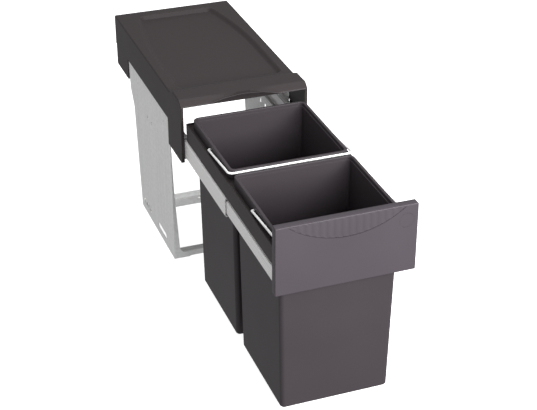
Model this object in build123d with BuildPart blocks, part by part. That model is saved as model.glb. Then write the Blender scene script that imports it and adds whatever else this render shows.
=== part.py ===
from build123d import *
import os

os.makedirs("parts", exist_ok=True)

# All lengths are millimetres. X is across the cabinet, +Y is to the rear and Z is up.
# The origin is on the floor, midway between the two floor screw holes.
# The drawer is drawn pulled out, as it stands in use.

# Main sizes
cover_width = 254.0
lid_depth = 483.0
lid_height = 385.0
foot_depth = 240.0
leg_depth = 90.0
travel = 482.0
overrun = 5.0
touch = 0.3

# Standing frame
sheet = 1.5
bar_height = 13.0
bar_depth = 35.0
bar_tab_height = 11.0
bar_bend = 2.0
screw_inset = 15.0
screw_hole_radius = 2.75
plate_knee_height = 226.0
plate_shoulder_height = 256.0
plate_knee_reach = 30.0
plate_shoulder_reach = 52.0
plate_top_reach = 66.0
plate_overlap = 20.0
plate_corner_radius = 4.0
plate_knee_radius = 14.0
flange_top_height = 262.0
flange_mid_height = 157.0
flange_mid_width = 4.5
flange_low_width = 13.0
flange_foot_length = 34.0
flange_foot_radius = 12.0
slot_length = 60.0
slot_width = 12.0
slot_height = 21.0
front_slot_place = 85.0
rear_slot_inset = 42.0
peephole_radius = 3.0
peephole_height = 246.0
peephole_place = 136.0
window_length = 11.0
window_width = 4.0
window_spacing = 28.0

# Cover
wall = 2.5
skirt_depth = 63.0
leg_drop = 118.5
leg_return = 5.5
leg_corner_radius = 5.0
tab_length = 91.0
tab_drop = 110.0
tab_inset = 0.7
tab_rear_inset = 4.0
hood_rise = 9.0
hood_edge_drop = 3.0
hood_lip = 1.5
hood_slope = 12.0
hood_flat_end = 50.0
hood_ramp_end = 76.0
hood_soft_radius = 14.0
hood_nose_radius = 5.0
edge_radius = 3.0
arch_chord = 142.0
arch_length = 26.0
arch_edge = 1.5
arch_recess = 1.2
tray_depth = 6.5
tray_front = 82.0
tray_rear_margin = 24.0
tray_side_margin = 17.0
tray_narrowing = 30.0
tray_straight = 143.0
tray_front_radius = 14.0
tray_rear_radius = 12.0
tray_slope_angle = 45.0
hook_width = 12.0
hook_height = 4.0
hook_reach = 0.8
hook_drop = 9.0
hook_places_share = (0.16, 0.5, 0.84)

# Slides, drawn in section from the plate's inner face towards the middle
slide_space = 12.7
slide_drop = 89.0
rail_length = 450.0
rail_sheet = 1.2
rail_front_gap = 5.0
cabinet_rail_extra = 7.0
cabinet_rail_half = 23.0
cabinet_rail_lip = 9.7
race_sheet = 1.7
ball_radius = 1.6
ball_gap = 0.15
race_depth = 0.75
ball_place = 7.0
outer_ball_level = 20.3
inner_ball_level = 15.2
middle_web_start = 2.2
middle_sheet = 1.4
middle_lip = 10.5
drawer_lip_start = 4.8
cage_sheet = 0.6
cage_web_gap = 0.3
cage_lip = 9.6
cage_length = 180.0
cage_end_gap = 14.0
balls_per_row = 3
ball_flat_count = 8
ball_slices_share = (-0.92, -0.4, 0.4, 0.92)
rail_corner_radius = 1.0
rivet_radius = 2.2
rivet_places_share = (0.15, 0.85)
shank_flat_count = 8
buffer_length = 4.0
buffer_height = 18.0

# Bin carrier
shut_gap = 1.5
carrier_rear_gap = 8.5
carrier_side_gap = 2.2
carrier_wall = 2.5
carrier_lift = 2.0
carrier_lip_drop = 30.0
carrier_ledge_drop = 3.0
carrier_corner_radius = 3.0
carrier_rib_depth = 16.0
web_bottom_gap = 1.0
opening_gap = 1.5

# Bins
bin_depth = 220.0
bin_side_gap = 9.0
bin_gap = 12.0
rim_margin = 11.0
rim_drop = 15.0
rim_overhang = 5.0
rim_wall = 2.0
bin_wall = 2.2
bin_clear_floor = 4.0
bin_side_taper = 11.2
bin_end_taper = 3.5
bin_corner_radius = 14.0
bin_bottom_fillet = 7.0
rim_radius = 13.0
rim_edge = 0.8
bin_seat_gap = 0.3

# Bails
wire_radius = 2.0
wire_flat_count = 12
wire_gap = 2.0
wire_bend = 9.0
wire_fit = 0.08
bail_pivot_drop = 11.0
bail_rod_drop = 1.5

# Front panel
panel_side_inset = 3.0
panel_rise = 14.0
panel_height = 126.0
panel_thickness = 14.0
panel_wall = 2.8
panel_corner_radius = 5.0
panel_bevel = 1.5
grip_chord = 186.0
grip_sag = 36.3
grip_depth = 1.4
grip_gap = 0.35
grip_thickness = 1.3
grip_rib_pitch = 12.6
grip_rib_width = 6.0
grip_rib_depth = 0.45
grip_rib_count = 13
dimple_radius = 13.0
dimple_place = 104.0
dimple_drop = 28.0
dimple_line = 0.8
dimple_depth = 0.25
panel_screw_radius = 1.8
panel_screw_head = 3.6
panel_screw_head_height = 1.8
panel_screw_reach = 2.0
panel_screw_places_share = (0.42, 0.16)
carrier_boss_radius = 4.0

# Places that follow from the sizes above
frame_front = -foot_depth / 2
frame_rear = foot_depth / 2
hood_front = frame_front - leg_depth
lid_rear = hood_front + lid_depth
skirt_bottom = lid_height - skirt_depth
hood_height = lid_height + hood_rise
hood_edge = lid_height - hood_edge_drop
leg_bottom_height = lid_height - leg_drop
tab_bottom_height = lid_height - tab_drop
slide_height = lid_height - slide_drop
carrier_lip_height = lid_height - carrier_lip_drop
rim_height = lid_height - rim_drop
panel_top_height = lid_height + panel_rise
half_width = cover_width / 2
tray_half_width = half_width - tray_side_margin
tray_rear_half_width = tray_half_width - tray_narrowing
panel_width = cover_width - 2 * panel_side_inset
plate_outer = half_width - wall - touch
plate_inner = plate_outer - sheet
plate_top = skirt_bottom + plate_overlap
web_x = plate_inner - slide_space
carrier_half = plate_inner - carrier_side_gap
bin_width = 2 * (carrier_half - bin_side_gap)
panel_back = hood_front - shut_gap - travel
panel_front = panel_back - panel_thickness
carrier_rear = lid_rear - wall - carrier_rear_gap - travel
carrier_length = carrier_rear - panel_back
carrier_bottom = slide_height + cabinet_rail_half + carrier_lift
ledge_height = carrier_lip_height - carrier_ledge_drop
rim_bottom = ledge_height + bin_seat_gap
bin_floor = bar_height + bin_clear_floor
bin_pitch = bin_depth + bin_gap
rear_bin_y = carrier_rear - rim_margin - bin_depth / 2
front_bin_y = rear_bin_y - bin_pitch
bin_body_width = bin_width - 2 * rim_overhang
bin_body_depth = bin_depth - 2 * rim_overhang
opening_half = bin_body_width / 2 + opening_gap
web_plate = web_x - opening_half
pivot_height = rim_height - bail_pivot_drop
rod_height = rim_height - bail_rod_drop
arm_x = bin_width / 2 + wire_gap + wire_radius

# Side plates: bent sheet with a front flange that widens into a foot
peephole_y = frame_front + peephole_place
slot_y = [frame_front + front_slot_place, frame_rear - rear_slot_inset]
hook_level = plate_top - hook_drop
plate_span = foot_depth + plate_top_reach
hook_y = [frame_front + share * plate_span for share in hook_places_share]
cabinet_rail_front = hood_front + rail_front_gap
rivet_y = [frame_front + share * (foot_depth + plate_knee_reach) for share in rivet_places_share]

with BuildPart() as left_side_plate:
    with BuildSketch(Plane.YZ.offset(-plate_outer)):
        with BuildLine():
            FilletPolyline(
                (frame_front, 0),
                (frame_rear, 0),
                (frame_rear + plate_knee_reach, plate_knee_height),
                (frame_rear + plate_shoulder_reach, plate_shoulder_height),
                (frame_rear + plate_top_reach, plate_top),
                (frame_front, plate_top),
                radius=[
                    0,
                    plate_corner_radius,
                    plate_knee_radius,
                    plate_knee_radius,
                    plate_corner_radius,
                    0,
                ],
                close=True,
            )
        make_face()
        with Locations([(y, slot_height) for y in slot_y]):
            SlotOverall(slot_length, slot_width, mode=Mode.SUBTRACT)
        with Locations((peephole_y, peephole_height)):
            Circle(peephole_radius, mode=Mode.SUBTRACT)
        with Locations((peephole_y + window_spacing, peephole_height)):
            SlotOverall(window_length, window_width, rotation=90, mode=Mode.SUBTRACT)
        with Locations([(y, hook_level) for y in hook_y]):
            Rectangle(hook_width, hook_height, mode=Mode.SUBTRACT)
        with Locations([(y, slide_height) for y in rivet_y]):
            Circle(rivet_radius, mode=Mode.SUBTRACT)
    extrude(amount=sheet)
    with BuildSketch(Plane.XZ.offset(-frame_front)):
        with BuildLine():
            FilletPolyline(
                (-plate_outer, 0),
                (-plate_outer + flange_foot_length, 0),
                (-plate_outer + flange_foot_length, bar_height),
                (-plate_outer + flange_low_width, bar_height),
                (-plate_outer + flange_mid_width, flange_mid_height),
                (-plate_inner, flange_top_height),
                (-plate_outer, flange_top_height),
                radius=[0, 0, plate_corner_radius, flange_foot_radius, plate_knee_height, 0, 0],
                close=True,
            )
        make_face()
    extrude(amount=-sheet)
    bend_edge = left_side_plate.edges().filter_by(Axis.Z).group_by(Axis.X)[0].group_by(Axis.Y)[0]
    fillet(bend_edge, sheet - touch)
left_side_plate.part.label = "left_side_plate"
export_step(left_side_plate.part, "parts/left_side_plate.step")

with BuildPart() as right_side_plate:
    mirror(left_side_plate.part, about=Plane.YZ)
right_side_plate.part.label = "right_side_plate"
export_step(right_side_plate.part, "parts/right_side_plate.step")

# Crossbars: L sections on the floor, with end tabs against the side plates
bar_front = frame_front + sheet

with BuildPart() as front_crossbar:
    with BuildSketch(Plane.YZ):
        with BuildLine():
            FilletPolyline(
                (bar_front, 0),
                (bar_front + bar_depth, 0),
                (bar_front + bar_depth, sheet),
                (bar_front + sheet, sheet),
                (bar_front + sheet, bar_height),
                (bar_front, bar_height),
                radius=[bar_bend, 0, 0, bar_bend - sheet, 0, 0],
                close=True,
            )
        make_face()
    extrude(amount=plate_inner, both=True)
    for side in (-1, 1):
        with BuildSketch(Plane.YZ.offset(side * plate_inner)):
            with Locations((bar_front + bar_depth / 2, bar_tab_height / 2)):
                RectangleRounded(bar_depth, bar_tab_height, plate_corner_radius)
        extrude(amount=-side * sheet)
    with Locations((0, frame_front + screw_inset, sheet)):
        Hole(screw_hole_radius)
front_crossbar.part.label = "front_crossbar"
export_step(front_crossbar.part, "parts/front_crossbar.step")

with BuildPart() as rear_crossbar:
    mirror(front_crossbar.part, about=Plane.XZ)
rear_crossbar.part.label = "rear_crossbar"
export_step(rear_crossbar.part, "parts/rear_crossbar.step")

# Cover: one moulding with tray, hood, finger arch, skirts, front legs and rear tabs
arch_half = arch_chord / 2
recess_half = arch_half - 2 * arch_edge
tray_floor = lid_height - tray_depth
slope_run = hood_front + hood_slope
flat_end = hood_front + hood_flat_end
ramp_end = hood_front + hood_ramp_end
tray_start = hood_front + tray_front
tray_end = lid_rear - tray_rear_margin

with BuildPart() as cover:
    with BuildSketch(Plane.YZ):
        with BuildLine():
            FilletPolyline(
                (hood_front, leg_bottom_height),
                (hood_front, hood_edge + hood_lip),
                (slope_run, hood_height),
                (flat_end, hood_height),
                (ramp_end, lid_height),
                (lid_rear, lid_height),
                (lid_rear, skirt_bottom),
                (hood_front + leg_depth, skirt_bottom),
                (hood_front + leg_depth, leg_bottom_height),
                radius=[
                    leg_corner_radius,
                    0,
                    hood_nose_radius,
                    hood_soft_radius,
                    hood_soft_radius,
                    edge_radius,
                    0,
                    edge_radius,
                    0,
                ],
                close=True,
            )
        make_face()
    extrude(amount=half_width, both=True)
    side_edges = cover.faces().filter_by(Axis.X).edges()
    upper_edges = side_edges.filter_by_position(Axis.Z, skirt_bottom + touch, hood_height)
    fillet(upper_edges.filter_by_position(Axis.Y, hood_front + touch, lid_rear), edge_radius)
    for side in (-1, 1):
        tab_outer = half_width - tab_inset
        with BuildSketch(Plane.YZ.offset(side * tab_outer)):
            with BuildLine():
                FilletPolyline(
                    (lid_rear - tab_rear_inset, skirt_bottom + overrun),
                    (lid_rear - tab_rear_inset, tab_bottom_height),
                    (lid_rear - tab_rear_inset - tab_length, tab_bottom_height),
                    (lid_rear - tab_rear_inset - tab_length, skirt_bottom + overrun),
                    radius=[0, leg_corner_radius, edge_radius, 0],
                    close=True,
                )
            make_face()
        extrude(amount=-side * wall)
    with BuildSketch(Plane.YZ):
        with BuildLine():
            FilletPolyline(
                (hood_front + wall, leg_bottom_height - overrun),
                (hood_front + wall, hood_edge - hood_lip),
                (slope_run + wall, hood_height - wall),
                (flat_end, hood_height - wall),
                (ramp_end, lid_height - wall),
                (lid_rear - wall, lid_height - wall),
                (lid_rear - wall, leg_bottom_height - overrun),
                radius=[0, 0, hood_nose_radius, hood_soft_radius, hood_soft_radius, edge_radius, 0],
                close=True,
            )
        make_face()
    extrude(amount=half_width - wall, both=True, mode=Mode.SUBTRACT)
    with BuildSketch(Plane.XZ.offset(-hood_front)):
        with Locations((0, hood_edge)):
            Rectangle(
                2 * (half_width - leg_return),
                hood_edge - leg_bottom_height + overrun,
                align=(Align.CENTER, Align.MAX),
            )
    extrude(amount=-wall - overrun, mode=Mode.SUBTRACT)
    with BuildSketch(Plane.XZ.offset(-hood_front)):
        with BuildLine():
            ThreePointArc((-arch_half, hood_edge), (0, hood_height), (arch_half, hood_edge))
            Line((arch_half, hood_edge), (-arch_half, hood_edge))
        make_face()
    extrude(amount=-arch_length)
    with BuildSketch(Plane.XZ.offset(-hood_front)):
        with BuildLine():
            ThreePointArc(
                (-recess_half, hood_edge), (0, hood_height - arch_edge), (recess_half, hood_edge)
            )
            Line((recess_half, hood_edge), (-recess_half, hood_edge))
        make_face()
    extrude(amount=-arch_recess, mode=Mode.SUBTRACT)
    for side in (-1, 1):
        with BuildSketch(Plane.YZ.offset(side * (half_width - wall))):
            with Locations([(y, hook_level) for y in hook_y]):
                Rectangle(hook_width - 2 * touch, hook_height - 2 * touch)
        extrude(amount=-side * (touch + sheet + hook_reach))
    with BuildSketch(Plane.XY.offset(tray_floor - wall)):
        with BuildLine() as tray_outline:
            Line((tray_half_width, tray_start), (tray_half_width, tray_start + tray_straight))
            TangentArc(
                (tray_half_width, tray_start + tray_straight),
                (tray_rear_half_width, tray_end),
                tangent=(0, 1),
            )
            Line((tray_rear_half_width, tray_end), (0, tray_end))
            Line((0, tray_start), (tray_half_width, tray_start))
            mirror(about=Plane.YZ)
        make_face()
        fillet(
            vertices().group_by(Axis.Y)[0].filter_by(lambda v: abs(v.X) > tray_rear_half_width / 2),
            tray_front_radius,
        )
        fillet(
            vertices().group_by(Axis.Y)[-1].filter_by(lambda v: abs(v.X) > tray_rear_half_width / 2),
            tray_rear_radius,
        )
        tub_face = offset(amount=wall, mode=Mode.REPLACE)
    extrude(amount=tray_depth + touch)
    with BuildSketch(Plane.XY.offset(lid_height)):
        add(tub_face)
        tray_face = offset(amount=-wall, mode=Mode.REPLACE)
    extrude(amount=-tray_depth, taper=tray_slope_angle, mode=Mode.SUBTRACT)
cover.part.label = "cover"
export_step(cover.part, "parts/cover.step")

# Slides. Each section is drawn at the left plate's inner face, with its second axis down.
outer_level = outer_ball_level + ball_radius + ball_gap - race_depth
middle_outer = outer_ball_level - ball_radius - ball_gap + race_depth
middle_inner = inner_ball_level + ball_radius + ball_gap - race_depth
drawer_outer = inner_ball_level - ball_radius - ball_gap + race_depth
race_radius = ball_radius + ball_gap
middle_rail_front = cabinet_rail_front - travel / 2
drawer_rail_front = cabinet_rail_front - travel
cabinet_rail_length = rail_length + cabinet_rail_extra


def slide_plane(y):
    """The left slide's section plane at one place along it."""
    return Plane(origin=(-plate_inner, y, slide_height), x_dir=(1, 0, 0), z_dir=(0, 1, 0))


with BuildPart() as left_cabinet_rail:
    with BuildSketch(slide_plane(cabinet_rail_front)):
        with Locations((0, 0)):
            Rectangle(
                cabinet_rail_lip, 2 * cabinet_rail_half, align=(Align.MIN, Align.CENTER)
            )
        fillet(vertices().group_by(Axis.X)[0], rail_corner_radius)
        with Locations((rail_sheet, 0)):
            Rectangle(
                cabinet_rail_lip, 2 * outer_level, align=(Align.MIN, Align.CENTER), mode=Mode.SUBTRACT
            )
        with Locations((ball_place, outer_ball_level), (ball_place, -outer_ball_level)):
            Circle(race_radius, mode=Mode.SUBTRACT)
    extrude(amount=cabinet_rail_length)
    with BuildSketch(Plane.YZ.offset(-plate_inner)):
        with Locations([(y, slide_height) for y in rivet_y]):
            Circle(rivet_radius)
    extrude(amount=rail_sheet, mode=Mode.SUBTRACT)
left_cabinet_rail.part.label = "left_cabinet_rail"
export_step(left_cabinet_rail.part, "parts/left_cabinet_rail.step")

with BuildPart() as left_middle_rail:
    with BuildSketch(slide_plane(middle_rail_front)):
        with Locations((middle_web_start, 0)):
            Rectangle(
                middle_lip - middle_web_start, 2 * middle_outer, align=(Align.MIN, Align.CENTER)
            )
        fillet(vertices().group_by(Axis.X)[0], rail_corner_radius)
        with Locations((middle_web_start + middle_sheet, 0)):
            Rectangle(middle_lip, 2 * middle_inner, align=(Align.MIN, Align.CENTER), mode=Mode.SUBTRACT)
        for level in (outer_ball_level, inner_ball_level):
            with Locations((ball_place, level), (ball_place, -level)):
                Circle(race_radius, mode=Mode.SUBTRACT)
    extrude(amount=rail_length)
left_middle_rail.part.label = "left_middle_rail"
export_step(left_middle_rail.part, "parts/left_middle_rail.step")

drawer_screw_y = [drawer_rail_front + share * rail_length for share in rivet_places_share]

with BuildPart() as left_drawer_rail:
    with BuildSketch(slide_plane(drawer_rail_front)):
        with Locations((drawer_lip_start, 0)):
            Rectangle(
                slide_space - drawer_lip_start, 2 * drawer_outer, align=(Align.MIN, Align.CENTER)
            )
        fillet(vertices().group_by(Axis.X)[-1], rail_corner_radius)
        with Locations((drawer_lip_start, 0)):
            Rectangle(
                slide_space - drawer_lip_start - rail_sheet,
                2 * (drawer_outer - race_sheet),
                align=(Align.MIN, Align.CENTER),
                mode=Mode.SUBTRACT,
            )
        with Locations((ball_place, inner_ball_level), (ball_place, -inner_ball_level)):
            Circle(race_radius, mode=Mode.SUBTRACT)
    extrude(amount=rail_length)
    with BuildSketch(Plane.YZ.offset(-web_x)):
        with Locations([(y, slide_height) for y in drawer_screw_y]):
            Circle(panel_screw_radius)
    extrude(amount=-rail_sheet, mode=Mode.SUBTRACT)
left_drawer_rail.part.label = "left_drawer_rail"
export_step(left_drawer_rail.part, "parts/left_drawer_rail.step")

# Ball cages: thin channels with a row of square windows top and bottom
outer_cage_front = cabinet_rail_front + cage_end_gap
inner_cage_front = middle_rail_front + cage_end_gap
ball_pitch = cage_length / balls_per_row
outer_cage_level = (outer_level + middle_outer) / 2
inner_cage_level = (middle_inner + drawer_outer) / 2
outer_cage_web = rail_sheet + cage_web_gap
inner_cage_web = middle_web_start + middle_sheet + cage_web_gap


def ball_rows(front, level):
    """Centres of the balls in the rows above and below the slide's middle."""
    steps = [front + ball_pitch * (step + 1 / 2) for step in range(balls_per_row)]
    x = -plate_inner + ball_place
    return [(x, y, slide_height + side * level) for y in steps for side in (-1, 1)]


with BuildPart() as left_outer_ball_cage:
    with BuildSketch(slide_plane(outer_cage_front)):
        with Locations((outer_cage_web, 0)):
            Rectangle(
                cage_lip - outer_cage_web,
                2 * outer_cage_level + cage_sheet,
                align=(Align.MIN, Align.CENTER),
            )
        with Locations((outer_cage_web + cage_sheet, 0)):
            Rectangle(
                cage_lip,
                2 * outer_cage_level - cage_sheet,
                align=(Align.MIN, Align.CENTER),
                mode=Mode.SUBTRACT,
            )
    extrude(amount=cage_length)
    with Locations(ball_rows(outer_cage_front, outer_ball_level)):
        Box(2 * race_radius, 2 * race_radius, 2 * race_radius, mode=Mode.SUBTRACT)
left_outer_ball_cage.part.label = "left_outer_ball_cage"
export_step(left_outer_ball_cage.part, "parts/left_outer_ball_cage.step")

with BuildPart() as left_inner_ball_cage:
    with BuildSketch(slide_plane(inner_cage_front)):
        with Locations((inner_cage_web, 0)):
            Rectangle(
                cage_lip - inner_cage_web,
                2 * inner_cage_level + cage_sheet,
                align=(Align.MIN, Align.CENTER),
            )
        with Locations((inner_cage_web + cage_sheet, 0)):
            Rectangle(
                cage_lip,
                2 * inner_cage_level - cage_sheet,
                align=(Align.MIN, Align.CENTER),
                mode=Mode.SUBTRACT,
            )
    extrude(amount=cage_length)
    with Locations(ball_rows(inner_cage_front, inner_ball_level)):
        Box(2 * race_radius, 2 * race_radius, 2 * race_radius, mode=Mode.SUBTRACT)
left_inner_ball_cage.part.label = "left_inner_ball_cage"
export_step(left_inner_ball_cage.part, "parts/left_inner_ball_cage.step")

# One ball, drawn with a few flats, because each slide has many
with BuildPart() as ball:
    for share in ball_slices_share:
        with BuildSketch(Plane.XY.offset(share * ball_radius)):
            RegularPolygon(ball_radius * (1 - share**2) ** (1 / 2), ball_flat_count)
    loft(ruled=True)

with BuildPart() as outer_balls:
    with Locations(ball_rows(outer_cage_front, outer_ball_level)):
        add(ball.part)
    mirror(about=Plane.YZ)
outer_balls.part.label = "outer_balls"
export_step(outer_balls.part, "parts/outer_balls.step")

with BuildPart() as inner_balls:
    with Locations(ball_rows(inner_cage_front, inner_ball_level)):
        add(ball.part)
    mirror(about=Plane.YZ)
inner_balls.part.label = "inner_balls"
export_step(inner_balls.part, "parts/inner_balls.step")

# The right hand slide is the mirror of the left one
with BuildPart() as right_cabinet_rail:
    mirror(left_cabinet_rail.part, about=Plane.YZ)
right_cabinet_rail.part.label = "right_cabinet_rail"
export_step(right_cabinet_rail.part, "parts/right_cabinet_rail.step")

with BuildPart() as right_middle_rail:
    mirror(left_middle_rail.part, about=Plane.YZ)
right_middle_rail.part.label = "right_middle_rail"
export_step(right_middle_rail.part, "parts/right_middle_rail.step")

with BuildPart() as right_drawer_rail:
    mirror(left_drawer_rail.part, about=Plane.YZ)
right_drawer_rail.part.label = "right_drawer_rail"
export_step(right_drawer_rail.part, "parts/right_drawer_rail.step")

with BuildPart() as right_outer_ball_cage:
    mirror(left_outer_ball_cage.part, about=Plane.YZ)
right_outer_ball_cage.part.label = "right_outer_ball_cage"
export_step(right_outer_ball_cage.part, "parts/right_outer_ball_cage.step")

with BuildPart() as right_inner_ball_cage:
    mirror(left_inner_ball_cage.part, about=Plane.YZ)
right_inner_ball_cage.part.label = "right_inner_ball_cage"
export_step(right_inner_ball_cage.part, "parts/right_inner_ball_cage.step")

# Rivets, pressed flush with the plate outside and with the rail inside
with BuildPart() as rail_rivets:
    with BuildSketch(Plane.YZ.offset(-plate_outer)):
        with Locations([(y, slide_height) for y in rivet_y]):
            RegularPolygon(rivet_radius, shank_flat_count)
    extrude(amount=sheet + rail_sheet)
    mirror(about=Plane.YZ)
rail_rivets.part.label = "rail_rivets"
export_step(rail_rivets.part, "parts/rail_rivets.step")

# Rubber buffers that stop the rails at the rear
buffer_rear = cabinet_rail_front + cabinet_rail_length

with BuildPart() as rail_end_buffers:
    with BuildSketch(slide_plane(buffer_rear - buffer_length)):
        with Locations((rail_sheet, 0)):
            Rectangle(middle_lip - rail_sheet, buffer_height, align=(Align.MIN, Align.CENTER))
        fillet(vertices().group_by(Axis.X)[-1], rail_sheet)
    extrude(amount=buffer_length)
    mirror(about=Plane.YZ)
rail_end_buffers.part.label = "rail_end_buffers"
export_step(rail_end_buffers.part, "parts/rail_end_buffers.step")

# Bin carrier: a plastic ring with an outer lip, a ledge and an inner web for the slides
carrier_mid = (carrier_rear + panel_back) / 2
opening_depth = bin_body_depth + 2 * opening_gap
web_bottom = slide_height - drawer_outer - web_bottom_gap
panel_screw_x = [
    side * share * panel_width for share in panel_screw_places_share for side in (-1, 1)
]
panel_screw_height = (carrier_bottom + ledge_height) / 2

with BuildPart() as bin_carrier:
    with BuildSketch(Plane.XY.offset(carrier_bottom)):
        with Locations((0, carrier_mid)):
            RectangleRounded(2 * carrier_half, carrier_length, carrier_corner_radius)
    extrude(amount=carrier_lip_height - carrier_bottom)
    with BuildSketch(Plane.XY.offset(carrier_lip_height)):
        with Locations((0, carrier_mid)):
            Rectangle(2 * (carrier_half - carrier_wall), carrier_length - 2 * carrier_wall)
    extrude(amount=-carrier_ledge_drop, mode=Mode.SUBTRACT)
    with BuildSketch(Plane.XY.offset(carrier_bottom)):
        with Locations((0, carrier_mid)):
            Rectangle(2 * (carrier_half - carrier_wall), carrier_length - 2 * carrier_wall)
    extrude(amount=ledge_height - carrier_wall - carrier_bottom, mode=Mode.SUBTRACT)
    for side in (-1, 1):
        with BuildSketch(Plane.XY.offset(ledge_height - carrier_wall)):
            with Locations((side * (web_x - web_plate / 2), carrier_mid)):
                Rectangle(web_plate, carrier_length - 2 * carrier_wall)
        extrude(amount=-(ledge_height - carrier_wall - web_bottom))
    with BuildSketch(Plane.XY.offset(ledge_height - carrier_wall)):
        with Locations((0, (rear_bin_y + front_bin_y) / 2)):
            Rectangle(2 * web_x, bin_pitch - opening_depth)
    extrude(amount=-carrier_rib_depth)
    with BuildSketch(Plane.XY.offset(carrier_lip_height)):
        with Locations((0, rear_bin_y), (0, front_bin_y)):
            RectangleRounded(2 * opening_half, opening_depth, bin_corner_radius)
    extrude(amount=-(carrier_lip_height - carrier_bottom + overrun), mode=Mode.SUBTRACT)
    with BuildSketch(Plane.YZ.offset(-web_x)):
        with Locations([(y, slide_height) for y in drawer_screw_y]):
            Circle(panel_screw_radius)
    extrude(amount=2 * web_x, mode=Mode.SUBTRACT)
    with BuildSketch(Plane.XZ.offset(-panel_back)):
        with Locations([(x, panel_screw_height) for x in panel_screw_x]):
            Circle(panel_screw_radius)
    extrude(amount=-carrier_wall, mode=Mode.SUBTRACT)
bin_carrier.part.label = "bin_carrier"
export_step(bin_carrier.part, "parts/bin_carrier.step")

# Drawer rail screws: flat heads on the rail's web, shanks in the carrier's web
with BuildPart() as drawer_rail_screws:
    with BuildSketch(Plane.YZ.offset(-web_x - rail_sheet)):
        with Locations([(y, slide_height) for y in drawer_screw_y]):
            RegularPolygon(panel_screw_radius, shank_flat_count)
    extrude(amount=rail_sheet + web_plate)
    with BuildSketch(Plane.YZ.offset(-web_x - rail_sheet)):
        with Locations([(y, slide_height) for y in drawer_screw_y]):
            RegularPolygon(panel_screw_head, shank_flat_count)
    extrude(amount=-panel_screw_head_height)
    mirror(about=Plane.YZ)
drawer_rail_screws.part.label = "drawer_rail_screws"
export_step(drawer_rail_screws.part, "parts/drawer_rail_screws.step")

# Bins: tapered tubs hung by a turned-down rim
def tub(inset):
    """A tub's solid with rounded upright corners, drawn in by the inset all round."""
    half_x = bin_body_width / 2 - inset
    half_y = bin_body_depth / 2 - inset
    floor = bin_floor + inset
    with BuildPart() as body:
        with BuildSketch(Plane.XZ.offset(-rear_bin_y)):
            with BuildLine():
                Polyline(
                    (-half_x, rim_height),
                    (-half_x + bin_side_taper, floor),
                    (half_x - bin_side_taper, floor),
                    (half_x, rim_height),
                    close=True,
                )
            make_face()
        extrude(amount=bin_depth, both=True)
        with BuildSketch(Plane.YZ):
            with BuildLine():
                Polyline(
                    (rear_bin_y - half_y, rim_height),
                    (rear_bin_y - half_y + bin_end_taper, floor),
                    (rear_bin_y + half_y - bin_end_taper, floor),
                    (rear_bin_y + half_y, rim_height),
                    close=True,
                )
            make_face()
        extrude(amount=bin_width, both=True, mode=Mode.INTERSECT)
        fillet(body.edges().group_by(Axis.Z)[1], bin_corner_radius - inset)
    return body.part


tub_outside = tub(0)
tub_inside = tub(bin_wall)

with BuildPart() as rear_bin:
    add(tub_outside)
    fillet(rear_bin.faces().sort_by(Axis.Z)[0].edges(), bin_bottom_fillet)
    with BuildSketch(Plane.XY.offset(rim_height)):
        with Locations((0, rear_bin_y)):
            RectangleRounded(bin_width, bin_depth, rim_radius)
    extrude(amount=-rim_wall)
    with BuildSketch(Plane.XY.offset(rim_height)):
        with Locations((0, rear_bin_y)):
            RectangleRounded(bin_width, bin_depth, rim_radius)
            RectangleRounded(
                bin_width - 2 * rim_wall,
                bin_depth - 2 * rim_wall,
                rim_radius - rim_wall,
                mode=Mode.SUBTRACT,
            )
    extrude(amount=-(rim_height - rim_bottom))
    add(tub_inside, mode=Mode.SUBTRACT)
    chamfer(rear_bin.faces().sort_by(Axis.Z)[-1].outer_wire().edges(), rim_edge)
    with BuildSketch(Plane.YZ.offset(-bin_width / 2)):
        with Locations((rear_bin_y, pivot_height)):
            Circle(wire_radius + wire_fit)
    extrude(amount=rim_wall, mode=Mode.SUBTRACT)
    with BuildSketch(Plane.YZ.offset(bin_width / 2)):
        with Locations((rear_bin_y, pivot_height)):
            Circle(wire_radius + wire_fit)
    extrude(amount=-rim_wall, mode=Mode.SUBTRACT)
rear_bin.part.label = "rear_bin"
export_step(rear_bin.part, "parts/rear_bin.step")

with BuildPart() as front_bin:
    add(rear_bin.part.moved(Location((0, -bin_pitch, 0))))
front_bin.part.label = "front_bin"
export_step(front_bin.part, "parts/front_bin.step")

# Bails: one bent wire each, its ends turned in through the rim
bail_end_x = bin_width / 2 - rim_wall - rim_overhang / 4
bail_reach = bin_depth / 2 + bin_gap / 2
rod_y = rear_bin_y - bail_reach

with BuildPart() as rear_bail:
    with BuildLine() as bail_line:
        FilletPolyline(
            (-bail_end_x, rear_bin_y, pivot_height),
            (-arm_x, rear_bin_y, pivot_height),
            (-arm_x, rod_y, rod_height),
            (arm_x, rod_y, rod_height),
            (arm_x, rear_bin_y, pivot_height),
            (bail_end_x, rear_bin_y, pivot_height),
            radius=[wire_radius + touch, wire_bend, wire_bend, wire_radius + touch],
        )
    with BuildSketch(Plane(origin=bail_line.line @ 0, z_dir=bail_line.line % 0)):
        RegularPolygon(wire_radius, wire_flat_count)
    sweep()
rear_bail.part.label = "rear_bail"
export_step(rear_bail.part, "parts/rear_bail.step")

with BuildPart() as front_bail:
    add(rear_bail.part.moved(Location((0, -bin_pitch, 0))))
front_bail.part.label = "front_bail"
export_step(front_bail.part, "parts/front_bail.step")

# Front panel: hollow moulding with an arc pocket for the grip insert
panel_mid = panel_top_height - panel_height / 2
grip_top = panel_top_height - panel_bevel
grip_half = grip_chord / 2

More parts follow.
